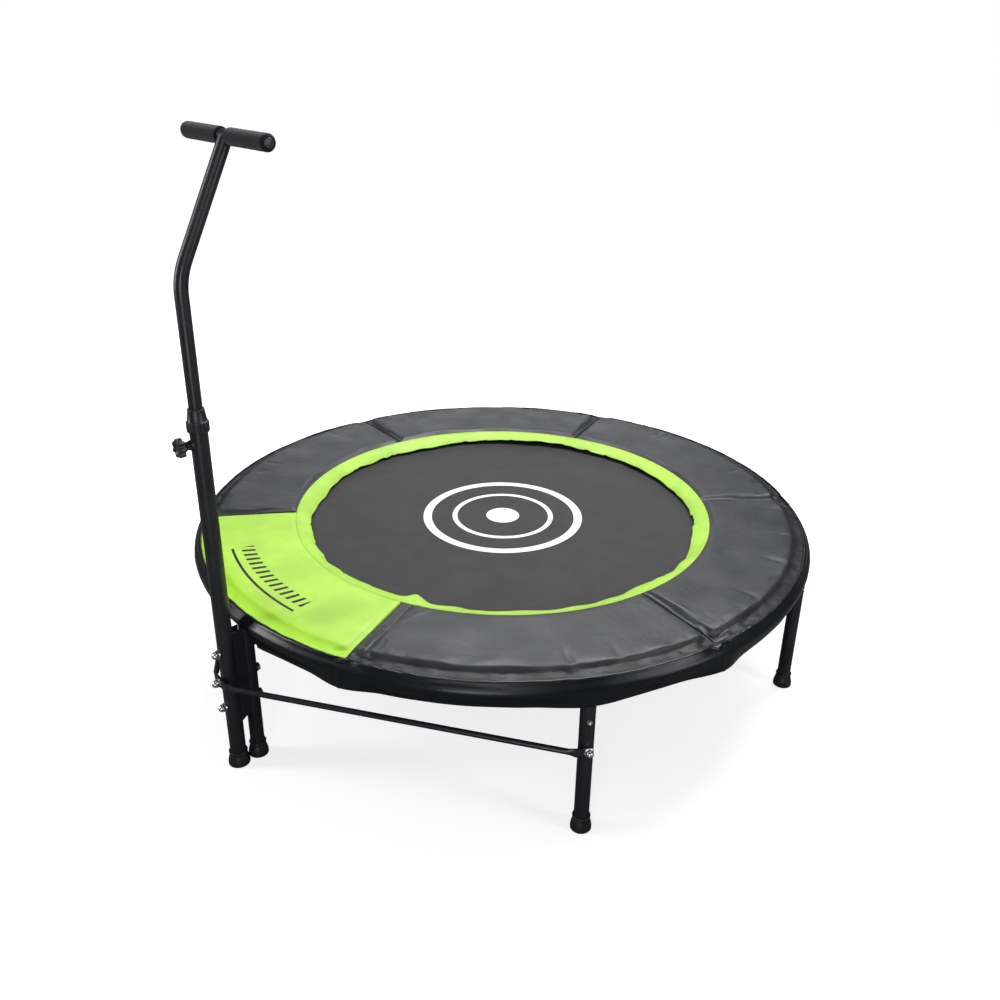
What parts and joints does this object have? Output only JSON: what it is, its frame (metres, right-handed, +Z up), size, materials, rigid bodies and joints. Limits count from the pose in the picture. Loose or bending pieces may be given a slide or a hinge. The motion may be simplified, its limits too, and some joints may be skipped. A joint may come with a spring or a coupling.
{
  "type": "mini trampoline",
  "caption": "Round mini trampoline with a padded rim, straight legs and a height-adjustable T-bar handle on a post beside one leg.",
  "frame": {"origin": "on the floor, under the middle of the mat", "axes": "+Z up, -Y from the middle towards the handle post, X along the T-bar"},
  "size_m": [1.2315, 1.2979, 1.0695],
  "materials": {
    "powder_coated_tube": "satin black powder coat",
    "zinc_fastener": "bright zinc plate",
    "spring_steel": "galvanised wire",
    "foot_rubber": "matte black rubber",
    "black_plastic": "moulded black plastic",
    "grip_foam": "matte closed-cell foam",
    "mat_mesh": "tightly woven polypropylene",
    "hem_webbing": "woven webbing",
    "grey_vinyl": "semi-gloss PVC",
    "green_vinyl": "semi-gloss PVC",
    "skirt_vinyl": "glossy black PVC",
    "pad_foam": "foam",
    "backing_sheet": "coated cloth"
  },
  "bodies": {
    "frame": {"frame_arc_front": "powder_coated_tube", "frame_arc_front_right": "powder_coated_tube", "frame_arc_back_right": "powder_coated_tube", "frame_arc_back": "powder_coated_tube", "frame_arc_back_left": "powder_coated_tube", "frame_arc_front_left": "powder_coated_tube", "leg_front": "powder_coated_tube", "leg_front_right": "powder_coated_tube", "leg_back_right": "powder_coated_tube", "leg_back": "powder_coated_tube", "leg_back_left": "powder_coated_tube", "leg_front_left": "powder_coated_tube", "foot_front": "foot_rubber", "foot_front_right": "foot_rubber", "foot_back_right": "foot_rubber", "foot_back": "foot_rubber", "foot_back_left": "foot_rubber", "foot_front_left": "foot_rubber", "foot_post": "foot_rubber", "leg_screws": "zinc_fastener", "spring_anchors": "powder_coated_tube", "springs": "spring_steel", "post_tube": "powder_coated_tube", "post_bracket": "powder_coated_tube", "bracket_bolts": "zinc_fastener", "brace_bolts": "zinc_fastener", "cap_nuts": "zinc_fastener", "washers": "zinc_fastener", "brace_left": "powder_coated_tube", "brace_right": "powder_coated_tube", "clamp_boss": "powder_coated_tube", "pad_section_front": "green_vinyl", "pad_section_front_right": "grey_vinyl", "pad_section_right": "grey_vinyl", "pad_section_back_right": "grey_vinyl", "pad_section_back_left": "grey_vinyl", "pad_section_left": "grey_vinyl", "pad_foam": "pad_foam", "pad_backing": "backing_sheet", "pad_trim": "green_vinyl", "pad_skirt": "skirt_vinyl", "pad_ties": "hem_webbing"},
    "mat": {"mat": "mat_mesh", "mat_hem": "hem_webbing", "mat_rings": "spring_steel"},
    "stem_bush": {"stem_bush": "black_plastic"},
    "handle": {"handle_stem": "powder_coated_tube", "stem_end_bush": "black_plastic", "handle_bar": "powder_coated_tube", "grip_left": "grip_foam", "grip_right": "grip_foam", "bar_end_plugs": "black_plastic"},
    "collar": {"collar_nut": "black_plastic"},
    "clamp_pad": {"clamp_pad": "black_plastic"},
    "knob": {"clamp_screw": "zinc_fastener", "clamp_knob": "black_plastic"}
  },
  "joints": [
    {"name": "mat_bounce", "type": "slide", "parent": "frame", "child": "mat", "axis": [0, 0, -1], "range_m": [0, 0.12], "stiffness_N_per_m": 9000, "deforming": ["springs"]},
    {"name": "handle_turn", "type": "hinge", "parent": "frame", "child": "stem_bush", "pos_m": [0, -0.64, 0.648], "axis": [0, 0, 1], "continuous": true},
    {"name": "handle_height", "type": "slide", "parent": "stem_bush", "child": "handle", "axis": [0, 0, 1], "range_m": [-0.14, 0.16]},
    {"name": "collar_turn", "type": "hinge", "parent": "frame", "child": "collar", "pos_m": [0, -0.64, 0.648], "axis": [0, 0, 1], "range_deg": [0, 120]},
    {"name": "clamp_turn", "type": "hinge", "parent": "clamp_pad", "child": "knob", "pos_m": [0, -0.67, 0.619], "axis": [0, -1, 0], "range_deg": [0, 1080]},
    {"name": "clamp_travel", "type": "slide", "parent": "frame", "child": "clamp_pad", "axis": [0, -1, 0], "range_m": [0, 0.00375]}
  ],
  "couplings": [
    {"joint": "clamp_turn", "follows": "clamp_travel", "rad_per_m": 5026.5}
  ]
}
